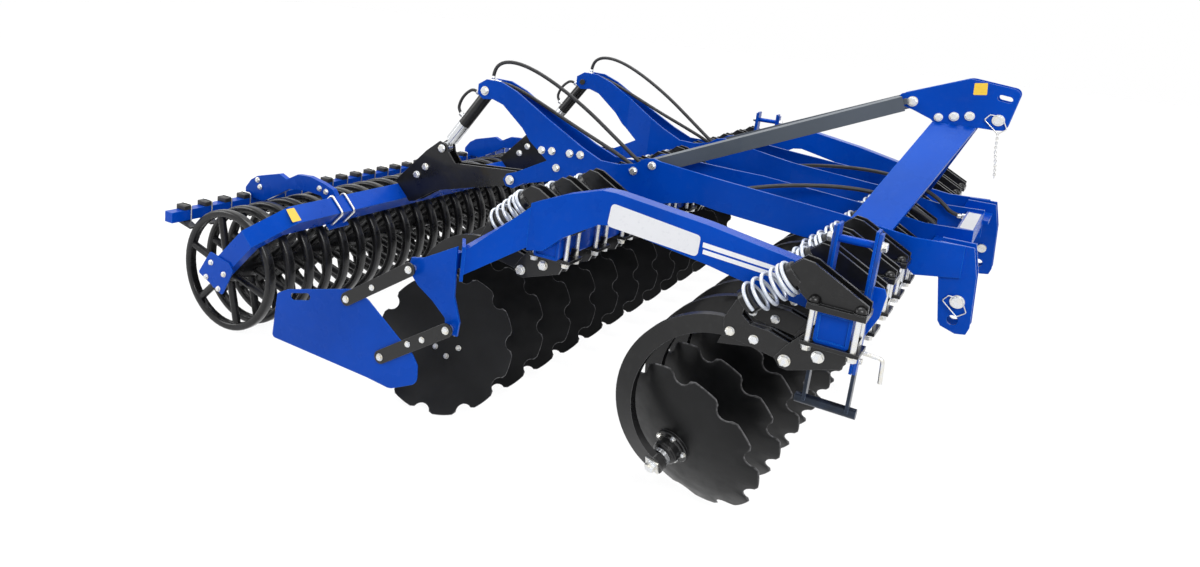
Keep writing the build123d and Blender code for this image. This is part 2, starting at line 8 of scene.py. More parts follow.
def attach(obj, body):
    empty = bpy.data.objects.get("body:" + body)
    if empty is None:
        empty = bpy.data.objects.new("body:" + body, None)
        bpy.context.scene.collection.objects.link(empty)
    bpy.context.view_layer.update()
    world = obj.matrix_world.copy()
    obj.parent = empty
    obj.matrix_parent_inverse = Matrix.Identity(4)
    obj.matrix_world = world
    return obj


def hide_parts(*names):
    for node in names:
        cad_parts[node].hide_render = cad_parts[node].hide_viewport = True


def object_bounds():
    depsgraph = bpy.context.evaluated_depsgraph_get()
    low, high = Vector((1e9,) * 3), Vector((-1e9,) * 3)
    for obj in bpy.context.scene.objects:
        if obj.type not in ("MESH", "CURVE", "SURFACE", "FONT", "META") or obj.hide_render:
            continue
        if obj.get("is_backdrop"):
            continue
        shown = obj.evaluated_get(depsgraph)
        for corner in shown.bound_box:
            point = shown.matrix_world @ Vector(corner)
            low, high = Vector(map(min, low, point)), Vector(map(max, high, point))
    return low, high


# Looks of a three-metre mounted disc harrow. Lengths in the tables are millimetres, and x counts
# from the front beam's centre, as in the part's own source. place() gives the frame's metres.

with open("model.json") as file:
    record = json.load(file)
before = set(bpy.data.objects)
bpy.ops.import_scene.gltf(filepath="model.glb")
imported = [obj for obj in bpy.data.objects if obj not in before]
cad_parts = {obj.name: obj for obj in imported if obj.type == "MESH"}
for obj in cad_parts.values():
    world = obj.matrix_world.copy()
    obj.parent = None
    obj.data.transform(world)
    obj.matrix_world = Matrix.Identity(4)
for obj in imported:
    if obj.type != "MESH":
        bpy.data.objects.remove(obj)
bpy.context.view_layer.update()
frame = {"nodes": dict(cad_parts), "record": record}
nodes = frame["nodes"]
scene = bpy.context.scene
bodies = frame["record"]["behaviour"]["bodies"]
body_of = {node: body for body, names in bodies.items() for node in names}

FRONT_BEAM_X = 1292
BEAM_Z = 754
BEAM_TOP = 804
UNITS = 12
UNIT_PITCH = 250
# Row: beam's x, first unit's y, its disc's shift along y, the side that the hubs look to
ROWS = {"front": (0, -1375, -9, -1), "rear": (-1000, -1250, -95, 1)}
RINGS_IN_ROW = 24
RING_PITCH = 125
SIDES = {-1: "right", 1: "left"}
STANDS = {"front": (0, -1285), "rear": (-1000, 1410)}
X, Y, Z = (1, 0, 0), (0, 1, 0), (0, 0, 1)


def place(x, y, z):
    return Vector(((x + FRONT_BEAM_X) / 1000, y / 1000, z / 1000))


def mm(value):
    return value / 1000


def linked(name, data):
    made = bpy.data.objects.new(name, data)
    scene.collection.objects.link(made)
    return made


# Node trees: one wrapper for a socket and one base for every tree
def operator(kind, swapped=False):
    def act(self, other):
        return self.tree.maths(kind, *((other, self) if swapped else (self, other)))
    return act


class Value:
    def __init__(self, tree, node, output=0):
        self.tree = tree
        self.node = node
        self.socket = node.outputs[output]

    def part(self, output):
        return Value(self.tree, self.node, output)

    __add__ = operator("ADD")
    __sub__ = operator("SUBTRACT")
    __rsub__ = operator("SUBTRACT", True)
    __mul__ = operator("MULTIPLY")
    __truediv__ = operator("DIVIDE")


class Tree:
    def __init__(self, tree):
        self.tree = tree

    def node(self, kind, values=None, **settings):
        made = self.tree.nodes.new(kind)
        for name, setting in settings.items():
            setattr(made, name, setting)
        for key, value in (values or {}).items():
            self.feed(made.inputs[key], value)
        return Value(self, made)

    def feed(self, socket, value):
        if isinstance(value, Value):
            self.tree.links.new(value.socket, socket)
        else:
            socket.default_value = (*value, 1) if socket.type == "RGBA" else value

    def maths(self, operation, first, second):
        return self.node("ShaderNodeMath", {0: first, 1: second}, operation=operation)


class Finish(Tree):
    """A procedural material on Object coordinates."""

    def __init__(self, name, **settings):
        self.material = bpy.data.materials.new(name)
        self.material.use_nodes = True
        super().__init__(self.material.node_tree)
        self.shader = self.tree.nodes["Principled BSDF"]
        self.coordinates = self.node("ShaderNodeTexCoord").part("Object")
        self.give(**settings)

    def give(self, **sockets):
        for name, value in sockets.items():
            self.feed(self.shader.inputs[name.replace("_", " ")], value)

    def noise(self, scale, detail=3, roughness=0.5, where=None):
        return self.node("ShaderNodeTexNoise", {"Vector": where or self.coordinates, "Scale": scale,
                                                "Detail": detail, "Roughness": roughness})

    def between(self, *values):
        """Maps a value from between two levels to 0 and 1, or to two more values."""
        return self.node("ShaderNodeMapRange", dict(enumerate(values)), clamp=True)

    def patch(self, scale, detail, low, high, most=1.0, roughness=0.5, where=None):
        return self.between(self.noise(scale, detail, roughness, where), low, high, 0, most)

    def mix(self, share, first, second):
        values = {0: share, 6: first, 7: second}
        return self.node("ShaderNodeMix", values, data_type="RGBA").part(2)

    def edges(self, radius):
        """The normal with its edges rounded, and how far it turns from the flat one."""
        rounded = self.node("ShaderNodeBevel", {"Radius": radius}, samples=4)
        flat = self.node("ShaderNodeNewGeometry").part("Normal")
        turned = self.node("ShaderNodeVectorMath", {0: rounded, 1: flat}, operation="DOT_PRODUCT")
        return rounded, 1 - turned.part("Value")

    def roughen(self, pattern, low, high):
        self.give(Roughness=self.between(self.noise(*pattern), 0.3, 0.7, low, high))

    def grain(self, pattern, strength, depth, normal=None):
        values = {"Strength": strength, "Distance": depth, "Height": self.noise(*pattern)}
        if normal is not None:
            values["Normal"] = normal
        self.give(Normal=self.node("ShaderNodeBump", values))


WHITE = (1, 1, 1)
DUST = (0.32, 0.33, 0.34)


def paint(name, base, shade, edge, roughness, coat, peel, edge_radius=0.003, edge_gain=5.0, tint=WHITE):
    """Sprayed paint: slow change of tone, fine peel in the gloss, and a painted highlight: a paler colour
    along the edges.
    """
    look = Finish(name, Coat_Roughness=0.08, Coat_IOR=1.5, Specular_IOR_Level=0.28, Specular_Tint=tint)
    rounded, turn = look.edges(edge_radius)
    tone = look.patch(2.3, 4, 0.35, 0.65)
    dust = look.patch(38, 6, 0.52, 0.75, 0.16, roughness=0.65)
    body = look.mix(tone, base, shade)
    dusty = look.mix(dust, body, look.mix(0.12, body, DUST))
    # painted highlight: the edge colour where the bevelled normal turns away from the flat one
    edge_highlight = look.between(turn * edge_gain + look.noise(24, 4) * 0.25, 0.3, 0.95)
    look.give(Base_Color=look.mix(edge_highlight, dusty, edge), Coat_Weight=coat)
    look.roughen((9, 4), roughness - 0.05, roughness + 0.07)
    look.grain((420, 2), peel, 0.0004, rounded)
    return look.material


def zinc(name, base, warm, roughness, metal=0.85):
    """Bright zinc plate: crystal patches, a faint yellow cast and fine scratches."""
    look = Finish(name, Metallic=metal)
    rounded, turn = look.edges(0.0008)
    patch = look.node("ShaderNodeTexVoronoi", {"Vector": look.coordinates, "Scale": 240})
    cast = look.patch(55, 3, 0.4, 0.68)
    darker = look.patch(14, 5, 0.55, 0.8, 0.45, roughness=0.6)
    look.give(Base_Color=look.mix(darker, look.mix(cast, base, warm), DUST))
    look.give(Roughness=look.between(patch, 0, 0.8, roughness - 0.06, roughness + 0.1))
    look.grain((900, 1), 0.05, 0.0001, rounded)
    return look.material


def plain(name, base, other, tone, rough, grain=None, **settings):
    """Two colours in patches, with a gloss that changes slowly."""
    look = Finish(name, **settings)
    look.give(Base_Color=look.mix(look.patch(*tone), base, other))
    look.roughen(*rough)
    if grain:
        look.grain(*grain)
    return look.material


def rubber(name, base, gloss):
    return plain(name, base, (0.03, 0.03, 0.032), (30, 4, 0.3, 0.7),
                 ((70, 3), gloss, gloss + 0.15), ((600, 2), 0.3, 0.0003), Specular_IOR_Level=0.4)


def printed(name, base, worn):
    return plain(name, base, worn, (60, 5, 0.55, 0.75, 0.5, 0.7), ((20, 3), 0.3, 0.45),
                 Coat_Weight=0.3, Coat_Roughness=0.15)


# Painted steel, with the ground bevel showing paler along the rim and the notches
look = Finish("disc_steel", Coat_Roughness=0.3, Specular_IOR_Level=0.2, Coat_Weight=0.06)
spot = look.node("ShaderNodeAttribute", attribute_name="spot").part("Vector")
rim = look.node("ShaderNodeAttribute", attribute_name="rim").part("Fac")
tone = look.patch(7, 5, 0.3, 0.7, roughness=0.6, where=spot)
body = look.mix(tone, (0.0035, 0.0036, 0.004), (0.0075, 0.0078, 0.0085))
worn = look.patch(45, 5, 0.35, 0.6, roughness=0.6, where=spot)
ground = look.between(rim, 0.5, 1.0) * worn
look.give(Base_Color=look.mix(ground, body, (0.17, 0.17, 0.175)), Metallic=ground * 0.6)
look.roughen((18, 5, 0.6, spot), 0.34, 0.52)
look.grain((160, 4, 0.6, spot), 0.25, 0.0006)
DISC = look.material

# Glossy black enamel over rolled and welded ring steel
look = Finish("ring_black", Coat_Roughness=0.08, Specular_IOR_Level=0.2, Coat_Weight=0.28)
rounded, turn = look.edges(0.004)
tone = look.patch(11, 4, 0.35, 0.65)
dust = look.patch(70, 6, 0.5, 0.72, 0.18, roughness=0.7)
body = look.mix(tone, (0.004, 0.004, 0.0045), (0.009, 0.009, 0.01))
look.give(Base_Color=look.mix(dust, body, (0.05, 0.052, 0.055)))
look.roughen((26, 4), 0.22, 0.4)
look.grain((95, 5, 0.6), 0.4, 0.0012, rounded)
RING = look.material

# A stand's leg: blue above a height of its own, dark under it
LEG_SPLIT = 0.6
look = Finish("leg_paint", Coat_Roughness=0.08, Specular_Tint=(0.5, 0.65, 0.9), Coat_Weight=0.08)
rounded, turn = look.edges(0.002)
height = look.node("ShaderNodeSeparateXYZ", {0: look.coordinates}).part("Z")
wave = height + look.noise(60, 3) * 0.004
share = look.between(wave, LEG_SPLIT - 0.001, LEG_SPLIT + 0.001)
tone = look.patch(30, 5, 0.4, 0.7, 0.5)
body = look.mix(tone, look.mix(share, (0.006, 0.006, 0.007), (0.0008, 0.072, 0.45)), (0.02, 0.03, 0.06))
# painted highlight: a paler blue-grey along the leg's edges
edge_highlight = look.between(turn * 5, 0.4, 0.95)
look.give(Base_Color=look.mix(edge_highlight, body, (0.1, 0.14, 0.22)))
look.roughen((12, 4), 0.3, 0.45)
look.grain((420, 2), 0.12, 0.0004, rounded)
LEG = look.material

# The third colour of each paint is its painted edge highlight.
BLUE = paint("frame_blue", (0.0002, 0.044, 0.355), (0.0003, 0.058, 0.45),
             (0.01, 0.18, 0.7), 0.28, 0.06, 0.1, tint=(0.1, 0.4, 1))
BLACK = paint("black_paint", (0.004, 0.004, 0.0044), (0.0085, 0.0085, 0.009),
              (0.16, 0.165, 0.17), 0.3, 0.25, 0.14, 0.0025, 4.0)
GREY = paint("stay_grey", (0.062, 0.078, 0.098), (0.078, 0.095, 0.118), (0.16, 0.18, 0.2), 0.42, 0.25, 0.2)
ZINC = zinc("zinc", (0.72, 0.74, 0.77), (0.74, 0.71, 0.62), 0.26)
SPRING = zinc("spring_zinc", (0.62, 0.67, 0.75), (0.7, 0.73, 0.78), 0.28, 0.4)
CHROME = zinc("chrome", (0.66, 0.68, 0.7), (0.7, 0.71, 0.73), 0.12)
CAP = rubber("cap_black", (0.012, 0.012, 0.013), 0.32)
HOSE = rubber("hose_black", (0.013, 0.013, 0.014), 0.42)
LABEL = printed("label_pale", (0.72, 0.73, 0.76), (0.5, 0.52, 0.56))
STRIPE = printed("stripe_white", (0.82, 0.83, 0.85), (0.6, 0.63, 0.7))
YELLOW = printed("label_yellow", (0.85, 0.56, 0.04), (0.6, 0.38, 0.04))

OWN_FINISHES = {
    "roller_rings": RING, "roller_shaft": RING, "scrapers": CAP, "mast_stays": GREY,
    "hitch_pins": ZINC, "stand_leg_front": LEG, "stand_leg_rear": LEG, "arm_springs": SPRING,
    "cylinder_rod_left": CHROME, "cylinder_rod_right": CHROME,
}
BLUE_NODES = ("front_beam", "rear_beam", "outer_plates", "inner_plates", "hitch_ears",
              "mast_plates", "mast_legs", "side_beams", "deflector_arm", "deflector_plate",
              "stand_guides", "roller_frame_beam", "scraper_carriers", "scraper_beam")
for name, node in nodes.items():
    finish = OWN_FINISHES.get(name) or (BLUE if name in BLUE_NODES else BLACK)
    if "_disc_" in name and not name.endswith("arms"):
        finish = DISC
    node.data.materials.clear()
    node.data.materials.append(finish)


# Pieces from meshes, and mesh code for forms
def keep(name, mesh, body, finishes=()):
    piece = linked(name, mesh)
    for finish in finishes:
        mesh.materials.append(finish)
    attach(piece, body)
    return piece


def shade(mesh, angle):
    for face in mesh.polygons:
        face.use_smooth = True
    mesh.set_sharp_from_angle(angle=radians(angle))


def finished(code, name, body, finishes, angle=35):
    mesh = bpy.data.meshes.new(name)
    code.to_mesh(mesh)
    code.free()
    shade(mesh, angle)
    return keep(name, mesh, body, finishes)


def realized(source, name, angle):
    """The mesh that a curve or a modified object gives; the object itself goes."""
    ready = source.evaluated_get(bpy.context.evaluated_depsgraph_get())
    mesh = bpy.data.meshes.new_from_object(ready)
    bpy.data.objects.remove(source)
    mesh.name = name
    shade(mesh, angle)
    return mesh


def bridge(code, pairs, finish=0):
    """Faces between pairs of rings, where a ring may be a single point."""
    for low, high in pairs:
        count = max(len(low), len(high))
        for step in range(count):
            after = (step + 1) % count
            corners = [low[step % len(low)], low[after % len(low)],
                       high[after % len(high)], high[step % len(high)]]
            unique = list(dict.fromkeys(corners))
            if len(unique) > 2:
                code.faces.new(unique).material_index = finish


def lathe(code, profile, origin, axis, across, segments, finish=0):
    """Turns (radius, height) pairs in mm round an axis; an end of radius 0 closes the form."""
    side = axis.cross(across)
    rings = []
    for radius, height in profile:
        ring = []
        for step in range(segments if radius else 1):
            angle = 2 * pi * step / segments
            way = across * cos(angle) + side * sin(angle)
            ring.append(code.verts.new(origin + axis * mm(height) + way * mm(radius)))
        rings.append(ring)
    bridge(code, zip(rings, rings[1:]), finish)


def slab(code, outline, low, high):
    """A plate from an (x, z) outline between two y values."""
    near = [code.verts.new(place(x, low, z)) for x, z in outline]
    far = [code.verts.new(place(x, high, z)) for x, z in outline]
    code.faces.new(near)
    code.faces.new(far[::-1])
    for step in range(len(outline)):
        code.faces.new([near[step - len(outline) + 1], near[step], far[step], far[step - len(outline) + 1]])


def soften(code, width, segments=2):
    """Rounds every edge of the forms made so far and turns their faces outwards."""
    bmesh.ops.recalc_face_normals(code, faces=code.faces)
    sharp = [edge for edge in code.edges if edge.is_manifold and edge.calc_face_angle(0) > 0.5]
    bmesh.ops.bevel(code, geom=sharp, offset=mm(width), segments=segments, affect="EDGES", profile=0.6)


# Discs with their hubs
RADIUS = 280
DEPTH = 60
THICK = 5
FLAT = 65
NOTCHES = 10
NOTCH = 32
BEVEL = 5
YAW = radians(15.9)
TILT = radians(24.2)
SPHERE = (RADIUS ** 2 + DEPTH ** 2) / (2 * DEPTH)
RIM_Z = RADIUS * cos(TILT) + 2
DISC_BACK = 390
NOTCH_TURNS = (-89.9, -60, -36, -12, 12, 36, 60, 89.9)
STEPS_BETWEEN = 7
CROWN_RADII = (0, FLAT, 120, 172, 214)
HUB_PROFILE = ((0, -0.4), (60, -0.4), (60, 10), (58, 12), (46, 12), (42, 16))
HUB_NOSE = ((42, 98), (40, 101), (40, 106), (37, 110), (34, 111.8), (19, 111.8))
HUB_BOLTS = 5
BOLT_CIRCLE = 50.5


def disc_axis(outward):
    return Vector((-sin(YAW) * cos(TILT), outward * cos(YAW) * cos(TILT), -sin(TILT)))


def across_of(axis):
    return Vector((0, -axis.z, axis.y)).normalized()


def dome(radius, drop=0):
    return sqrt((SPHERE - drop) ** 2 - radius ** 2) - (SPHERE - DEPTH)


def reach(angle, inset):
    """Distance from the centre to the blade's outline, brought in by inset."""
    step = 2 * pi / NOTCHES
    off = (angle + step / 2) % step - step / 2
    limit = RADIUS - inset
    bite = (NOTCH + inset) ** 2 - (RADIUS * sin(off)) ** 2
    if bite > 0:
        limit = min(limit, RADIUS * cos(off) - sqrt(bite))
    return limit


def blade_angles():
    """Angles of the rim's points: close together in the notches, wide between them."""
    half = asin(NOTCH / RADIUS)
    step = 2 * pi / NOTCHES
    offs = [half * sin(radians(turn)) for turn in NOTCH_TURNS]
    gap = step - 2 * half
    offs += [half + gap * share / STEPS_BETWEEN for share in range(1, STEPS_BETWEEN)]
    return [count * step + off for count in range(NOTCHES) for off in offs]


def crown_row(radius, drop):
    level = dome(max(radius, FLAT), drop)
    return (lambda angle: (radius, level)), 0


def rim_row(inset, drop, sink, wear):
    def point_at(angle):
        radius = reach(angle, inset)
        return radius, dome(radius, drop) - sink
    return point_at, wear


def blade(code, origin, axis):
    """A dished disc: rows of points over the crown, round the ground rim and back under it."""
    spot = code.verts.layers.float_vector.new("spot")
    rim = code.verts.layers.float.new("rim")
    across = across_of(axis)
    side = axis.cross(across)
    angles = blade_angles()
    rows = [crown_row(radius, 0) for radius in CROWN_RADII]
    rows += [rim_row(BEVEL, 0, 0, 0.4), rim_row(0.6, 0, 3.4, 1.0), rim_row(1.2, THICK, 0, 0.9),
             rim_row(BEVEL, THICK, 0, 0.2)]
    rows += [crown_row(radius, THICK) for radius in reversed(CROWN_RADII)]
    rings = []
    for point_at, wear in rows:
        ring = []
        for angle in angles if point_at(0)[0] else angles[:1]:
            radius, height = point_at(angle)
            local = Vector((radius * cos(angle), radius * sin(angle), height)) / 1000
            vertex = code.verts.new(origin + across * local.x + side * local.y + axis * local.z)
            vertex[spot] = local
            vertex[rim] = wear
            ring.append(vertex)
        rings.append(ring)
    bridge(code, zip(rings[1:], rings))


def hex_head(code, origin, axis, across, width, height, washer):
    """A zinc bolt head on a round washer, in the third material."""
    point = width / sqrt(3)
    lathe(code, [(0, 0), (point * washer, 0), (point * washer, 3), (point, 3)], origin, axis, across, 20, 2)
    lathe(code, [(point, 3), (point, height), (point * 0.86, height + 2), (0, height + 2)],
          origin, axis, across, 6, 2)


def hub(code, origin, axis):
    """A black flanged hub, with the bolts that hold the disc seen from both sides."""
    across = across_of(axis)
    side = axis.cross(across)
    base = dome(FLAT)
    back = dome(FLAT, THICK)
    profile = [(radius, base + height) for radius, height in HUB_PROFILE]
    lathe(code, [*profile, *HUB_NOSE, (19, base + 12.3)], origin, axis, across, 40, 1)
    for count in range(HUB_BOLTS):
        angle = 2 * pi * (count + 0.3) / HUB_BOLTS
        way = across * cos(angle) + side * sin(angle)
        out = way * mm(BOLT_CIRCLE)
        hex_head(code, origin + axis * mm(base + 11.8) + out, axis, way, 13, 9, 1.15)
        hex_head(code, origin + axis * mm(back + 0.3) + out, -axis, way, 16, 7, 1.2)


def disc_places():
    """Every disc's name, centre and axis."""
    for row, (beam_x, first_y, shift, outward) in ROWS.items():
        for unit in range(UNITS):
            centre = (beam_x - DISC_BACK, first_y + UNIT_PITCH * unit + shift, RIM_Z)
            yield f"{row}_disc_{unit + 1:02d}", centre, disc_axis(outward)


for name, centre, axis in disc_places():
    code = bmesh.new()
    blade(code, place(*centre), axis)
    hub(code, place(*centre), axis)
    piece = finished(code, f"{name}_blade", body_of[name], [DISC, BLACK, ZINC], 32)
    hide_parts(name)


# Geometry node trees for what repeats
class Maker(Tree):
    """A tree with named inputs. Its result is realized and given one material."""

    def __init__(self, name, **inputs):
        super().__init__(bpy.data.node_groups.new(name, "GeometryNodeTree"))
        self.labels = {}
        self.socket("Geometry", "Geometry")
        self.labels["Finish"] = self.socket("Finish", "Material").identifier
        for word, default in inputs.items():
            label = word.replace("_", " ")
            socket = self.socket(label, "Int" if isinstance(default, int) else "Float")
            socket.default_value = default
            self.labels[label] = socket.identifier
        self.socket("Geometry", "Geometry", "OUTPUT")
        self.start = self.node("NodeGroupInput")
        self.end = self.tree.nodes.new("NodeGroupOutput")

    def geo(self, kind, values=None, **settings):
        return self.node("GeometryNode" + kind, values, **settings)

    def socket(self, label, kind, side="INPUT"):
        return self.tree.interface.new_socket(name=label, in_out=side, socket_type="NodeSocket" + kind)

    def __getitem__(self, label):
        return self.start.part(label)

    def cylinder(self, corners, radius, depth):
        values = {"Vertices": corners, "Radius": radius, "Depth": depth}
        return self.geo("MeshCylinder", values).part("Mesh")

    def circle(self, corners, radius):
        values = {"Resolution": corners, "Radius": radius}
        return self.geo("CurvePrimitiveCircle", values)

    def sweep(self, path, profile, caps=False):
        values = {"Curve": path, "Profile Curve": profile, "Fill Caps": caps}
        return self.geo("CurveToMesh", values)

    def fillet(self, curve, radius, count):
        values = {"Curve": curve, "Radius": radius, "Count": count, "Limit Radius": True}
        return self.geo("FilletCurve", values, mode="POLY")

    def moved(self, mesh, height):
        shift = self.node("ShaderNodeCombineXYZ", {2: height})
        return self.geo("Transform", {"Geometry": mesh, "Translation": shift})

    def joined(self, *meshes):
        join = self.geo("JoinGeometry")
        for mesh in reversed(meshes):
            self.feed(join.node.inputs[0], mesh)
        return join

    def copied(self, points, form, turn, size=(1, 1, 1)):
        values = {"Points": points, "Instance": form, "Rotation": turn, "Scale": size}
        return self.geo("InstanceOnPoints", values)

    def position(self):
        return self.node("ShaderNodeSeparateXYZ", {0: self.geo("InputPosition")})

    def attribute(self, name, kind):
        return self.geo("InputNamedAttribute", {"Name": name}, data_type=kind)

    def close(self, geometry):
        real = self.geo("RealizeInstances", {0: geometry})
        values = {"Geometry": real, "Material": self["Finish"]}
        self.feed(self.end.inputs[0], self.geo("SetMaterial", values))
        return self

    def spread(self, form):
        """Ends with the form on every point, its Z along "axis" and its X along "side"."""
        axes = {0: self.attribute("axis", "FLOAT_VECTOR"), 1: self.attribute("side", "FLOAT_VECTOR")}
        turn = self.node("FunctionNodeAxesToRotation", axes, primary_axis="Z", secondary_axis="X")
        size = self.attribute("size", "FLOAT")
        return self.close(self.copied(self["Geometry"], form, turn, size))

    def grow(self, source, name, body, finish, angle, **values):
        change = source.modifiers.new("make", "NODES")
        change.node_group = self.tree
        change[self.labels["Finish"]] = finish
        for label, value in values.items():
            change[self.labels[label.replace("_", " ")]] = value
        return keep(name, realized(source, name, angle), body)


# Hexagon heads on a washer
tree = Maker("hex_bolts", Width=0.024, Height=0.011, Washer=0.018, Washer_height=0.003)
point = tree["Width"] / sqrt(3)
lift = tree["Washer height"]
height = tree["Height"]
values = {"Vertices": 6, "Radius Bottom": point, "Radius Top": point * 0.84, "Depth": height * 0.18}
washer = tree.moved(tree.cylinder(20, tree["Washer"], lift), lift * 0.5)
head = tree.moved(tree.cylinder(6, point, height), lift + height * 0.5)
crown = tree.moved(tree.geo("MeshCone", values).part("Mesh"), lift + height)
HEX = tree.spread(tree.joined(washer, head, crown))

# Round-headed cap nuts on a collar
tree = Maker("dome_nuts", Radius=0.017, Collar=0.02, Collar_height=0.005)
lift = tree["Collar height"]
collar = tree.moved(tree.cylinder(20, tree["Collar"], lift), lift * 0.5)
values = {"Segments": 16, "Rings": 12, "Radius": tree["Radius"]}
ball = tree.geo("MeshUVSphere", values).part("Mesh")
under = tree.node("FunctionNodeCompare", {0: tree.position().part("Z"), 1: -0.004}, operation="LESS_THAN")
bowl = tree.geo("DeleteGeometry", {"Geometry": ball, "Selection": under}, domain="POINT")
DOMES = tree.spread(tree.joined(collar, tree.moved(bowl, lift + 0.003)))

# Straight round bars that start at their point
tree = Maker("round_bars", Radius=0.008, Length=0.1, Corners=16)
length = tree["Length"]
bar = tree.cylinder(tree["Corners"], tree["Radius"], length)
BARS = tree.spread(tree.moved(bar, length * 0.5))

# Compression springs whose first turns lie close together
tree = Maker("coils", Radius=0.049, Wire=0.006, Turns=5.6, Length=0.15, Close_share=0.34, Close_length=0.2)
radius = tree["Radius"]
share = tree["Close share"]
close_length = tree["Close length"]
values = {"Resolution": 28, "Rotations": tree["Turns"], "Start Radius": radius,
          "End Radius": radius, "Height": 1.0}
spiral = tree.geo("CurveSpiral", values)
along = tree.geo("SplineParameter").part("Factor")
slow = along / share * close_length
fast = close_length + (along - share) / (1 - share) * (1 - close_length)
early = tree.maths("LESS_THAN", along, share)
level = slow * early + fast * (1 - early)
spot = tree.position()
lifted = tree.node("ShaderNodeCombineXYZ", {0: spot.part("X"), 1: spot.part("Y"), 2: level * tree["Length"]})
bent = tree.geo("SetPosition", {"Geometry": spiral, "Position": lifted})
COILS = tree.spread(tree.sweep(bent, tree.circle(10, tree["Wire"]), True))

# Round wire along straight runs, with their corners rounded
tree = Maker("bent_wire", Wire=0.005, Bend=0.012, Corners=10)
path = tree.fillet(tree["Geometry"], tree["Bend"], 5)
ring = tree.circle(tree["Corners"], tree["Wire"])
WIRE = tree.close(tree.sweep(path, ring, True))

# Roller rings: a rounded rim, spokes and a hub sleeve on each point
tree = Maker("ring_wheels", Radius=0.28, Rim=0.034, Width=0.046, Corner=0.011, Spokes=6,
             Spoke_radius=0.018, Hub=0.055, Pitch=0.125)
rim = tree["Rim"]
hub_radius = tree["Hub"]
count = tree["Spokes"]
middle = tree["Radius"] - rim * 0.5
length = middle - hub_radius
box = tree.geo("CurvePrimitiveQuadrilateral", {"Width": rim, "Height": tree["Width"]})
tyre = tree.sweep(tree.circle(56, middle), tree.fillet(box, tree["Corner"], 3))
bar = tree.cylinder(10, tree["Spoke radius"], length)
raised = tree.moved(bar, hub_radius + length * 0.5)
lying = tree.geo("Transform", {"Geometry": raised, "Rotation": (0, pi / 2, 0)})
around = tree.geo("MeshCircle", {"Vertices": count, "Radius": 0.001})
angle = tree.geo("InputIndex") * (2 * pi) / count + radians(15)
spokes = tree.copied(around, lying, tree.node("ShaderNodeCombineXYZ", {2: angle}))
sleeve = tree.cylinder(32, hub_radius, tree["Pitch"])
RINGS = tree.spread(tree.joined(tyre, spokes, sleeve))

# Small oval links along a line, each turned a quarter from the last
tree = Maker("chain_links", Link=0.012, Wire=0.0014)
link = tree["Link"]
points = tree.geo("CurveToPoints", {"Curve": tree["Geometry"], "Length": link * 0.72}, mode="LENGTH")
oval = tree.geo("Transform", {"Geometry": tree.circle(12, link * 0.5), "Scale": (0.6, 1.0, 1.0)})
wire = tree.sweep(oval, tree.circle(6, tree["Wire"]))
quarters = tree.geo("InputIndex") * (pi / 2)
turn = tree.node("ShaderNodeCombineXYZ", {0: pi / 2, 2: quarters})
CHAIN = tree.close(tree.copied(points, wire, turn))


# What the trees work on, and the commonest of their results
def spots(rows):
    """Points: each row is a place, an axis, a side and, unless it is 1, a size."""
    mesh = bpy.data.meshes.new("spots")
    mesh.from_pydata([place(*row[0]) for row in rows], [], [])
    for label, column in (("axis", 1), ("side", 2)):
        layer = mesh.attributes.new(label, "FLOAT_VECTOR", "POINT")
        for entry, row in zip(layer.data, rows):
            entry.vector = row[column]
    layer = mesh.attributes.new("size", "FLOAT", "POINT")
    for entry, row in zip(layer.data, rows):
        entry.value = row[3] if len(row) > 3 else 1
    return linked("spots", mesh)


def curve_of(name, kind, routes, runs=None, dimensions="3D", **settings):
    """A curve object with a run of one kind, with the settings in runs, along every route."""
    curve = bpy.data.curves.new(name, "CURVE")
    curve.dimensions = dimensions
    for label, value in settings.items():
        setattr(curve, label, value)
    for route in routes:
        run = curve.splines.new(kind)
        run.points.add(len(route) - 1)
        for point, spot in zip(run.points, route):
            point.co = (*place(*spot), 1)
        for label, value in (runs or {}).items():
            setattr(run, label, value)
    return linked(name, curve)


def facing_y(x, z, y, side, size=1):
    """A fastener on a face that looks along Y, to the side given."""
    return (x, y, z), (0, side, 0), X, size


def both_sides(places, y, size=1):
    return [facing_y(x, z, side * y, side, size) for side in SIDES for x, z in places]


def bolts(rows, name, body, width, height, washer, lift=3):
    return HEX.grow(spots(rows), name, body, ZINC, 30, Width=mm(width), Height=mm(height),
                    Washer=mm(washer), Washer_height=mm(lift))


def bars(rows, name, body, radius, length, corners, finish=ZINC, angle=30):
    return BARS.grow(spots(rows), name, body, finish, angle, Radius=mm(radius),
                     Length=mm(length), Corners=corners)


def wires(routes, name, body, wire, bend, corners):
    return WIRE.grow(curve_of("lines", "POLY", routes), name, body, ZINC, 50, Wire=mm(wire),
                     Bend=mm(bend), Corners=corners)


def round_corners(points, radii, steps=6):
    """An outline with its corners rounded, each by its own radius."""
    result = []
    for index, (point, radius) in enumerate(zip(points, radii)):
        if not radius:
            result.append(point)
            continue
        here = Vector(point)
        back = (Vector(points[index - 1]) - here).normalized()
        ahead = (Vector(points[(index + 1) % len(points)]) - here).normalized()
        half = back.angle(ahead) / 2
        centre = here + (back + ahead).normalized() * (radius / sin(half))
        first = here + back * (radius / tan(half)) - centre
        last = here + ahead * (radius / tan(half)) - centre
        turn = first.angle_signed(last)
        for step in range(steps + 1):
            angle = -turn * step / steps
            spot = centre + Vector((first.x * cos(angle) - first.y * sin(angle),
                                    first.x * sin(angle) + first.y * cos(angle)))
            result.append((spot.x, spot.y))
    return result


def circle_line(x, z, radius):
    angles = [2 * pi * step / 28 for step in range(28)]
    return [(x + radius * cos(angle), z + radius * sin(angle)) for angle in angles]


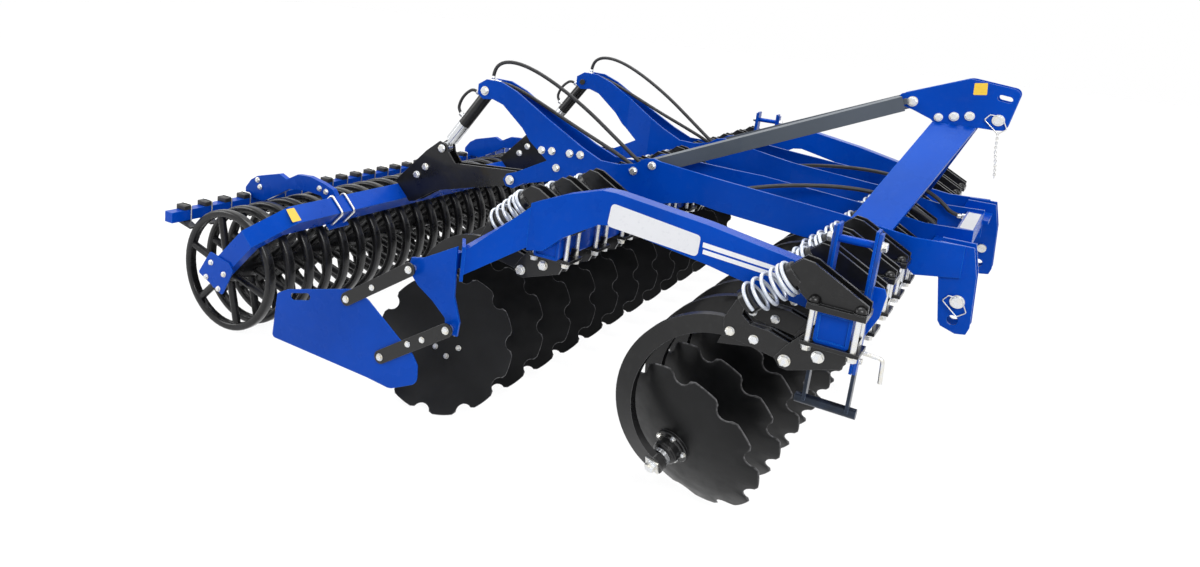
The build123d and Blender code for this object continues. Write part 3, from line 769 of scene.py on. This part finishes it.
def slot_line(x, z, length, width, tilt):
    """A slot's outline: length is over its ends."""
    turn = radians(tilt)
    half = (length - width) / 2
    line = []
    for sign in (1, -1):
        for step in range(11):
            angle = -pi / 2 + pi * step / 10 + (0 if sign > 0 else pi)
            along = sign * half + width / 2 * cos(angle)
            off = width / 2 * sin(angle)
            line.append((x + along * cos(turn) - off * sin(turn), z + along * sin(turn) + off * cos(turn)))
    return line


SHEET_EDGE = 0.8


def sheet(name, outlines, low, high, body, finish):
    """A flat plate between two y values, from (x, z) outlines with its holes among them."""
    flat = [[(x, z, 0) for x, z in outline] for outline in outlines]
    edge = mm(SHEET_EDGE)
    curve = curve_of("outline", "POLY", flat, {"use_cyclic_u": True}, "2D", fill_mode="BOTH",
                     bevel_depth=edge, bevel_resolution=2, offset=-edge,
                     extrude=mm(high - low) / 2 - edge)
    mesh = realized(curve, name, 40)
    middle = mm(low + high) / 2
    for vertex in mesh.vertices:
        x, z, y = vertex.co
        vertex.co = (x, middle - y, z)
    mesh.materials.clear()
    return keep(name, mesh, body, [finish])


def boxes(name, rows, edge):
    """Blue blocks on the frame: each row is a low and a high corner."""
    code = bmesh.new()
    for low, high in rows:
        made = bmesh.ops.create_cube(code, size=1)["verts"]
        size = [mm(b - a) for a, b in zip(low, high)]
        middle = place(*[(a + b) / 2 for a, b in zip(low, high)])
        bmesh.ops.scale(code, vec=size, verts=made)
        bmesh.ops.translate(code, vec=middle, verts=made)
    soften(code, edge)
    finished(code, name, "frame", [BLUE])


# Springs, studs and bolts of the disc arms
SPRING_LOW = (-257, 13)
SPRING_HIGH = (-139, 125)
SPRING_SEAT = 6
ARM_BOLTS = ((-294, -96), (-219, -101))
PIVOT_BOLTS = ((-118, -135), (-27, -94))
UNIT_PLACES = [(beam_x, first_y + UNIT_PITCH * unit)
               for beam_x, first_y, _, _ in ROWS.values() for unit in range(UNITS)]
spring_way = Vector((SPRING_LOW[0] - SPRING_HIGH[0], 0, SPRING_LOW[1] - SPRING_HIGH[1]))
spring_length = spring_way.length - 2 * SPRING_SEAT
spring_way.normalize()
spring_x = SPRING_HIGH[0] + SPRING_SEAT * spring_way.x
spring_z = BEAM_Z + SPRING_HIGH[1] + SPRING_SEAT * spring_way.z
rows = [((beam_x + spring_x, y, spring_z), spring_way, Y) for beam_x, y in UNIT_PLACES]
springs = COILS.grow(spots(rows), "coil_springs", "frame", SPRING, 60, Length=mm(spring_length))
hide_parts("arm_springs")

STUDS = [(beam_x + along, y + off) for beam_x, y in UNIT_PLACES for along in (-64, 64) for off in (-42, 42)]


def arm_rows(places, face):
    """Fasteners of every unit on both sides of its arm."""
    return [facing_y(beam_x + x, BEAM_Z + z, y + side * face, side)
            for beam_x, y in UNIT_PLACES for side in SIDES for x, z in places]


DOMES.grow(spots([((x, y, BEAM_TOP + 17.8), Z, X) for x, y in STUDS]), "stud_heads", "frame", BLACK, 50)
bars([((x, y, BEAM_Z - 50), Z, X) for x, y in STUDS], "stud_shafts", "frame", 8.6, 100, 12, ZINC, 40)
bolts([((x, y, BEAM_Z - 61.8), (0, 0, -1), X) for x, y in STUDS], "stud_nuts", "frame", 26, 12, 17)
bolts(arm_rows(ARM_BOLTS, 22.3), "arm_bolts", "frame", 24, 8, 15)
bolts(arm_rows(PIVOT_BOLTS, 33.8), "pivot_bolts", "frame", 30, 10, 19)

# Axle nut, square washer and seal ring of each disc
nuts = []
squares = []
seals = []
for _, centre, axis in disc_places():
    across = across_of(axis)
    centre = Vector(centre)
    nuts.append((centre + axis * 168.5, axis, across))
    squares.append((centre + axis * 162, axis, (across + axis.cross(across)).normalized()))
    seals.append((centre + axis * 113.4, axis, across))
bolts(nuts, "axle_nuts", "frame", 30, 14, 19)
bars(squares, "axle_washers", "frame", 34, 7, 4)
bars(seals, "seal_rings", "frame", 31, 14, 28, CHROME, 40)

# Bolts of the frame, on the outer plates and on the mast
PLATE_BOLTS = ((-1461, 944), (-1409, 949), (-1320, 954), (-1268, 957), (-1378, 877),
               (-1014, 934), (-935, 972))
MAST_BOLTS = ((26, 1296, 0.9), (79, 1307, 1.0), (132, 1317, 1.0), (-77, 1345, 1.15))
frame_bolts = []
for side in SIDES:
    frame_bolts += [facing_y(x, z, side * 568.3, side) for x, z in PLATE_BOLTS]
    frame_bolts += [facing_y(x, z, side * 60.8, side, size) for x, z, size in MAST_BOLTS]
bolts(frame_bolts, "frame_bolts", "frame", 27, 9, 18)

# Spacers of the stands, between their plates
SPACER_HALF = 50.2
STAND_BOLT_Z = 1003
spacers = [((x - SPACER_HALF, y, STAND_BOLT_Z), X, Y) for x, y in STANDS.values()]
bars(spacers, "stand_spacers", "frame", 12, 2 * SPACER_HALF, 20, BLUE, 40)

# Roller: rings, bearing plates with their bolts, clamps round the beam
SHAFT_X = -2527
SHAFT_Z = 280
ROLLER_BEAM = Vector((-2266, 0, 559))
UNIT_WAY = Vector((SHAFT_X - ROLLER_BEAM.x, 0, SHAFT_Z - ROLLER_BEAM.z)).normalized()
UNIT_SIDE = Vector((UNIT_WAY.z, 0, -UNIT_WAY.x))
SWING = body_of["roller_frame_beam"]
RING_PLACES = [(count - (RINGS_IN_ROW - 1) / 2) * RING_PITCH for count in range(RINGS_IN_ROW)]
BEARING_PLATE = [(-2617, 270), (-2545, 383), (-2420, 361), (-2396, 330), (-2458, 203)]
BEARING_BOLTS = ((-2533, 337), (-2449, 303), (-2562, 262), (-2480, 227))
CARRIER_BOLTS = ((-2786, 599), (-2767, 567), (-2330, 632), (-2372, 640))
CLAMP_Y = (-1058, -974, 974, 1058)
CLAMP_HALF = 52
FOOT = ((44.3, -72), (44.3, 72), (54, 72), (54, -72))


def on_beam(along, off):
    """A place by the roller beam: along towards the shaft, off across that."""
    return ROLLER_BEAM + UNIT_WAY * along + UNIT_SIDE * off


rings = RINGS.grow(spots([((SHAFT_X, y, SHAFT_Z), Y, X) for y in RING_PLACES]), "ring_wheels",
                   body_of["roller_rings"], RING, 40)
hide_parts("roller_rings")
for side, label in SIDES.items():
    low, high = sorted((side * 1532.2, side * 1540))
    outline = round_corners(BEARING_PLATE, [9] * 5)
    sheet(f"bearing_plate_{label}", [outline], low, high, SWING, BLUE)
bolts(both_sides(BEARING_BOLTS, 1540.1), "bearing_bolts", SWING, 19, 7, 13)
clamp_routes = []
clamp_nuts = []
for y in CLAMP_Y:
    legs = [on_beam(along, off) for along, off in ((78, -CLAMP_HALF), (-51.5, -CLAMP_HALF),
                                                   (-51.5, CLAMP_HALF), (78, CLAMP_HALF))]
    clamp_routes.append([(spot.x, y, spot.z) for spot in legs])
    for side in SIDES:
        nut = on_beam(54.4, side * CLAMP_HALF)
        clamp_nuts.append(((nut.x, y, nut.z), UNIT_WAY, Y))
for side, label in SIDES.items():
    code = bmesh.new()
    feet = [on_beam(along, off) for along, off in FOOT]
    slab(code, [(spot.x, spot.z) for spot in feet], *sorted((side * 948, side * 1084)))
    soften(code, 1.5)
    finished(code, f"clamp_foot_{label}", SWING, [BLUE])
wires(clamp_routes, "beam_clamps", SWING, 6, 14, 10)
bolts(clamp_nuts, "clamp_nuts", SWING, 19, 17, 13)
bolts(both_sides(CARRIER_BOLTS, 1030.2), "carrier_bolts", SWING, 19, 7, 14)

# Scrapers: rounded caps over the beam, each held by a strap
CAP_OUTLINE = [(-2878, 521), (-2818, 521), (-2818, 499), (-2870, 499), (-2870, 449),
               (-2830, 449), (-2775, 427), (-2778, 418), (-2878, 437)]
CAP_HALF = 22
STRAP = ((-2815.5, 440), (-2815.5, 524), (-2881, 524), (-2881, 440))
STRAP_OFF = 16
code = bmesh.new()
for y in RING_PLACES:
    slab(code, CAP_OUTLINE, y - CAP_HALF, y + CAP_HALF)
soften(code, 3.5, 3)
caps = finished(code, "scraper_caps", SWING, [CAP], 50)
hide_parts("scrapers")
straps = [[(x, y + STRAP_OFF, z) for x, z in STRAP] for y in RING_PLACES]
wires(straps, "scraper_straps", SWING, 3.2, 9, 8)

# Roller arms, cylinders and their pins
ARM_Y = 517
BARREL_PIN = Vector((-1793, 0, 1168))
ROD_PIN = Vector((-2015, 0, 851))
ROLLER_ARM_BOLTS = ((-2105, 741), (-2154, 692))
pins = []
arm_bolts = []
for side in SIDES:
    pins.append(facing_y(ROD_PIN.x, ROD_PIN.z, side * 555.3, side, 0.68))
    pins.append(facing_y(-1606.5, 775.6, side * 573.2, side, 0.75))
    arm_bolts += [facing_y(x, z, side * ARM_Y + way * 34.3, way)
                  for x, z in ROLLER_ARM_BOLTS for way in (-1, 1)]
barrel_pins = both_sides([(BARREL_PIN.x, BARREL_PIN.z)], 568.7, 0.72)
bolts(barrel_pins, "barrel_pin_heads", "frame", 44, 12, 30, 4)
bolts(pins, "arm_pin_heads", SWING, 44, 12, 30, 4)
bolts(arm_bolts, "roller_arm_bolts", SWING, 27, 10, 18)

# Deflector: plate with its slot, and the links with their spacers, pins and bolts
DEFLECTOR = [(-2092, 323), (-2036, 354), (-1687, 452), (-1613, 429), (-1441, 312),
             (-1383, 277), (-1355, 239), (-1351, 167), (-1474, 105), (-1591, 113), (-2110, 123)]
DEFLECTOR_RADII = (16, 40, 60, 50, 40, 30, 30, 40, 60, 30, 16)
# Link: its end on the frame, its end on the plate, the bolts between them
LINKS = {"upper": ((-1426, 602), (-1713, 405), ((-1590, 487),)),
         "lower": ((-1239, 419), (-1526, 222), ((-1401, 315), (-1338, 352)))}
LINK_WIDTH = 54
LINK_FACE = -1579.1
outline = round_corners(DEFLECTOR, DEFLECTOR_RADII)
holes = [slot_line(-1964, 342, 112, 30, 15), circle_line(-1713, 405, 8.4), circle_line(-1526, 222, 8.6)]
plate = sheet("deflector_sheet", [outline] + holes, -1569, -1563, body_of["deflector_plate"], BLUE)
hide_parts("deflector_plate")
for name, (start, end, middles) in LINKS.items():
    body = body_of[f"deflector_{name}_link"]
    way = Vector(start) - Vector(end)
    middle = (Vector(start) + Vector(end)) / 2
    outline = slot_line(middle.x, middle.y, way.length + LINK_WIDTH, LINK_WIDTH, degrees(atan2(way.y, way.x)))
    strap = sheet(f"link_{name}", [outline], -1579, -1571, body, BLACK)
    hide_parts(f"deflector_{name}_link")
    bars([facing_y(*start, -1546.5, -1)], f"link_{name}_spacer", body, 13, 25, 24)
    bars([facing_y(*end, -1556, -1)], f"link_{name}_pin", body, 7.9, 16, 20)
    heads = [facing_y(x, z, LINK_FACE, -1) for x, z in (start, end)]
    heads += [facing_y(x, z, LINK_FACE, -1, 0.8) for x, z in middles]
    bolts(heads, f"link_{name}_bolts", body, 22, 6, 15, 2)

# Mast: rounded plates with a slot, the block between them, the pins' clips and the chain
MAST = [(109, 1462), (288, 1438), (261, 1279), (221, 1275), (162, 1276), (8, 1276), (0, 1284),
        (-68, 1311), (-130, 1330), (-125, 1370)]
MAST_RADII = (60, 26, 14, 0, 0, 0, 0, 40, 12, 14)
TOP_PIN = (230, 1316)
LOWER_PIN = (252, 702)
BOW_CLIP = ((4, 16), (-30, 18), (-46, -4), (8, -52), (34, -30), (20, -2))
CHAIN_LINE = [(238, -70, 1264), (243, -70, 1200), (252, -70, 1150), (258, -70, 1098)]
outline = round_corners(MAST, MAST_RADII)
holes = [slot_line(237, 1400, 52, 24, -8), circle_line(*TOP_PIN, 16)]
for low, high, label in ((49, 61, "left"), (-61, -49, "right")):
    plate = sheet(f"mast_plate_{label}", [outline] + holes, low, high, "frame", BLUE)
    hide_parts("mast_plates")
boxes("mast_block", [((60, -49, 1380), (120, 49, 1420))], 3)
bars(both_sides([TOP_PIN], 61.2), "top_pin_washers", "frame", 22, 4, 28)
clips = [[(x + along, y, z + up) for along, up in BOW_CLIP]
         for (x, z), y in ((TOP_PIN, -69), (LOWER_PIN, -571), (LOWER_PIN, 571))]
wires(clips, "bow_clips", "frame", 2.2, 6, 8)
CHAIN.grow(curve_of("lines", "POLY", [CHAIN_LINE]), "pin_chain", "frame", ZINC, 50)

# Stands: gussets, bolts and lock pins
GUSSET = ((50.3, 700), (62, 700), (96, 780), (104, 850), (96, 871), (50.3, 871))
LOCK_PIN = ((68.5, 669), (132, 664), (136, 589))
STAND_FACE = 68.5
gussets = bmesh.new()
for name, (x, y) in STANDS.items():
    slab(gussets, [(x + along, z) for along, z in GUSSET], y + 28, y + 36)
    body = body_of[f"stand_leg_{name}"]
    heads = [((x + way * STAND_FACE, y, z), (way, 0, 0), Y, size)
             for way in (-1, 1) for z, size in ((STAND_BOLT_Z, 1.0), (640, 0.6))]
    bolts(heads, f"stand_bolts_{name}", body, 27, 11, 17)
    wires([[(x + along, y, z) for along, z in LOCK_PIN]], f"stand_pin_{name}", body, 6.5, 12, 14)
soften(gussets, 2)
finished(gussets, "stand_gussets", "frame", [BLUE])

# Hydraulic hoses: smooth lines between the head block, the bar on the plate and the hitch
HOSES = [
    [(-1778, -530, 1217), (-1778, -530, 1268), (-1738, -528, 1309), (-1660, -524, 1315),
     (-1555, -518, 1287), (-1430, -508, 1229), (-1290, -497, 1147), (-1165, -488, 1058),
     (-1050, -480, 975), (-960, -474, 915), (-890, -470, 880), (-830, -470, 880)],
    [(-1766, -505, 1208), (-1708, -505, 1208), (-1595, -502, 1172), (-1465, -500, 1118),
     (-1325, -500, 1060), (-1200, -502, 1012), (-1090, -505, 968), (-985, -510, 915),
     (-900, -510, 880), (-830, -510, 880)],
    [(-800, -470, 880), (-735, -470, 880), (-640, -440, 905), (-520, -385, 942),
     (-390, -335, 968), (-250, -292, 985), (-120, -262, 985), (-5, -236, 958),
     (80, -218, 915), (125, -210, 870), (180, -210, 870)]]
# Fitting: where its hose ends on the left side, and the way it looks along X or Z
FITTINGS = (((-1778, 530, 1236), (0, 0, -1)), ((-1748, 505, 1208), (-1, 0, 0)),
            ((-866, 470, 880), X), ((-866, 510, 880), X),
            ((-764, 470, 880), (-1, 0, 0)), ((150, 210, 870), X))
HOSE_BLOCKS = (((-1792, 477.5, 1196), (-1764, 556.5, 1218)), ((-832, 452, 864), (-798, 556.5, 896)))
BARREL_WAY = (ROD_PIN - BARREL_PIN).normalized()
BARREL_UP = Vector((BARREL_WAY.z, 0, -BARREL_WAY.x))
PORT_HOSE = ((200, 30), (200, 72), (152, 92), (103, 92), (55, 72), (55, 30))
PORTS = ((200, 27), (55, 27))


def tubes(name, routes, radius, body):
    """Hoses as smooth curves through their own control points."""
    runs = {"order_u": 3, "use_endpoint_u": True, "resolution_u": 8}
    curve = curve_of("line", "NURBS", routes, runs, bevel_depth=mm(radius), bevel_resolution=4,
                     use_fill_caps=True)
    mesh = realized(curve, name, 50)
    mesh.materials.clear()
    return keep(name, mesh, body, [HOSE])


def nipple(code, spot, way, length, radius):
    """A crimped sleeve and its swivel nut, from the end of a hose."""
    way = Vector(way).normalized()
    across = way.orthogonal().normalized()
    crimp = radius * 1.12
    nut = length - 5
    lathe(code, [(0, -3), (radius, -3), (radius, 0), (crimp, 2), (radius, 4), (crimp, 6),
                 (radius, 8), (radius, length - 6), (radius * 0.7, length - 4), (0, length - 4)],
          place(*spot), way, across, 18)
    lathe(code, [(0, nut), (12, nut), (13, nut + 2), (13, nut + 14), (0, nut + 14)],
          place(*spot), way, across, 6)


def on_barrel(side, along, off):
    spot = BARREL_PIN + BARREL_WAY * along + BARREL_UP * off
    return spot.x, side * ARM_Y, spot.z


tubes("hoses", HOSES + [[(x, -y, z) for x, y, z in route] for route in HOSES], 8.5, "frame")
fittings = bmesh.new()
blocks = []
for side in SIDES:
    for (x, y, z), way in FITTINGS:
        nipple(fittings, (x, side * y, z), way, 18, 9.5)
    for (low_x, low_y, low_z), (high_x, high_y, high_z) in HOSE_BLOCKS:
        near, far = sorted((side * low_y, side * high_y))
        blocks.append(((low_x, near, low_z), (high_x, far, high_z)))
soften(fittings, 0.4, 1)
finished(fittings, "hose_fittings", "frame", [ZINC], 30)
boxes("hose_blocks", blocks, 2)
for side, label in SIDES.items():
    body = body_of[f"cylinder_barrel_{label}"]
    tubes(f"port_hose_{label}", [[on_barrel(side, *spot) for spot in PORT_HOSE]], 7.5, body)
    ports = bmesh.new()
    for spot in PORTS:
        nipple(ports, on_barrel(side, *spot), BARREL_UP, 15, 9)
    soften(ports, 0.4, 1)
    finished(ports, f"port_fittings_{label}", body, [ZINC], 30)

# Blank panel with its stripes on the near side beam, and blank stickers
SIDE_BEAM_SLOPE = 0.135
SIDE_BEAM_Y = 1248
# Corners, finish and corner radius of what lies on the side beam
BEAM_MARKS = (([(-763, 967), (-458, 915), (-460, 842), (-770, 884)], 0, 14),
              ([(-448, 896), (-178, 861), (-178, 846), (-448, 879)], 1, 2),
              ([(-445, 872), (-183, 840), (-183, 826), (-445, 857)], 1, 2))
MAST_MARK = [(125, 1447), (169, 1453), (174, 1407), (128, 1401)]
TOP_MARK = [(187, -180), (233, -180), (233, 200), (187, 200)]
ROLLER_MARK = [(-1367, -34), (-1318, -34), (-1318, 34), (-1374, 34)]
ROLLER_BEAM_FACE = 44
MARK_THICK = 0.6


def mark(code, corners, spot_of, normal, finish, radius=3):
    """A thin label that lies on a face: its corners in the face's own two measures."""
    line = round_corners(corners, [radius] * len(corners), 4)
    near = [code.verts.new(spot_of(a, b)) for a, b in line]
    lifted = [code.verts.new(spot_of(a, b) + normal * mm(MARK_THICK)) for a, b in line]
    faces = [[near[i - 1], near[i], lifted[i], lifted[i - 1]] for i in range(len(line))]
    for face in (lifted, near[::-1], *faces):
        code.faces.new(face).material_index = finish


def labels(name, body, finishes, marks):
    code = bmesh.new()
    for settings in marks:
        mark(code, *settings)
    bmesh.ops.recalc_face_normals(code, faces=code.faces)
    finished(code, name, body, finishes)


def on_side_beam(x, z):
    return place(x, -(SIDE_BEAM_Y - SIDE_BEAM_SLOPE * x), z)


def on_roller_beam(y, off):
    return place(ROLLER_BEAM.x - ROLLER_BEAM_FACE * UNIT_WAY.x - off * UNIT_SIDE.x, y,
                 ROLLER_BEAM.z - ROLLER_BEAM_FACE * UNIT_WAY.z - off * UNIT_SIDE.z)


beam_normal = Vector((SIDE_BEAM_SLOPE, -1, 0)).normalized()
marks = [(corners, on_side_beam, beam_normal, *rest) for corners, *rest in BEAM_MARKS]
marks.append((MAST_MARK, lambda x, z: place(x, -61, z), Vector((0, -1, 0)), 2))
marks.append((TOP_MARK, lambda x, y: place(x, y, 895), Vector(Z), 0))
labels("blank_labels", "frame", [LABEL, STRIPE, YELLOW], marks)
labels("roller_label", SWING, [YELLOW], [(ROLLER_MARK, on_roller_beam, -UNIT_WAY, 0)])

# Camera: solved from the photograph, whose measures are in pixels
PHOTO_WIDTH = 1200
FOCAL = 902.3
OFF_CENTRE = (166.17, -105.03)
VIEW_YAW, VIEW_PITCH, VIEW_ROLL = 0.59759, 0.21675, 0.09046
VIEW_PLACE = (0.41795 + mm(FRONT_BEAM_X), -4.17604, 1.6565)
view = bpy.data.cameras.new("view")
view.sensor_width = 36
view.lens = FOCAL / PHOTO_WIDTH * view.sensor_width
view.shift_x, view.shift_y = [off / PHOTO_WIDTH for off in OFF_CENTRE]
forward = Vector((-sin(VIEW_YAW) * cos(VIEW_PITCH), cos(VIEW_YAW) * cos(VIEW_PITCH), -sin(VIEW_PITCH)))
level = Vector((cos(VIEW_YAW), sin(VIEW_YAW), 0))
upright = level.cross(forward)
right = level * cos(VIEW_ROLL) + upright * sin(VIEW_ROLL)
above = upright * cos(VIEW_ROLL) - level * sin(VIEW_ROLL)
camera = linked("view", view)
camera.matrix_world = Matrix.Translation(VIEW_PLACE) @ Matrix((right, above, -forward)).transposed().to_4x4()
scene.camera = camera

# What stands round the part
FLOOR_HALF = 30
FLOOR_WHITE = 0.8
FLOOR_GLOW = 0.16
SKY_LIGHT = 0.4


def direct_rays(tree):
    """1 for what the camera sees straight, in metal or through glass."""
    path = tree.node("ShaderNodeLightPath")
    seen = path.part("Is Camera Ray")
    for kind in ("Glossy", "Transmission"):
        seen = tree.maths("MAXIMUM", seen, path.part(f"Is {kind} Ray"))
    return seen


def lamp(name, spot, target, size, power):
    light = bpy.data.lights.new(name, "AREA")
    light.shape = "RECTANGLE"
    light.size, light.size_y = size
    light.energy = power
    holder = linked(name, light)
    holder.location = spot
    holder.rotation_euler = (Vector(target) - Vector(spot)).to_track_quat("-Z", "Y").to_euler()


# Floor: white to the camera, with a faint shadow; what is below it shows through
mesh = bpy.data.meshes.new("floor")
corners = [(FLOOR_HALF * x, FLOOR_HALF * y, 0) for x, y in ((-1, -1), (1, -1), (1, 1), (-1, 1))]
mesh.from_pydata(corners, [], [(0, 1, 2, 3)])
floor = linked("floor", mesh)
finish = Finish("floor", Roughness=0.9)
tone = finish.patch(3, 3, 0.3, 0.7)
finish.give(Base_Color=finish.mix(tone, (0.86, 0.86, 0.87), (0.89, 0.89, 0.9)))
clear = finish.node("ShaderNodeBsdfTransparent", {"Color": WHITE})
glow = finish.node("ShaderNodeEmission", {"Color": WHITE, "Strength": FLOOR_GLOW})
white = finish.node("ShaderNodeAddShader", {0: clear, 1: glow})
both = finish.node("ShaderNodeMixShader", {0: direct_rays(finish) * FLOOR_WHITE,
                                           1: Value(finish, finish.shader), 2: white})
finish.feed(finish.tree.nodes["Material Output"].inputs["Surface"], both)
mesh.materials.append(finish.material)
floor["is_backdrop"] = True

# Sky: white to the camera, dimmer as a light
world = bpy.data.worlds.new("sky")
world.use_nodes = True
sky = Tree(world.node_tree)
background = world.node_tree.nodes["Background"]
sky.feed(background.inputs["Color"], WHITE)
sky.feed(background.inputs["Strength"], direct_rays(sky) * (1 - SKY_LIGHT) + SKY_LIGHT)
scene.world = world

lamp("key", (3.5, -4.5, 4.2), (0, 0, 0.5), (3.0, 2.0), 190)
lamp("top", (-0.5, 0.5, 5.0), (0, 0, 0.4), (4.0, 4.0), 210)
lamp("fill", (-5.0, -3.5, 2.6), (0, 0, 0.6), (2.5, 2.0), 90)
scene.view_settings.view_transform = "Standard"

low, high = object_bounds()
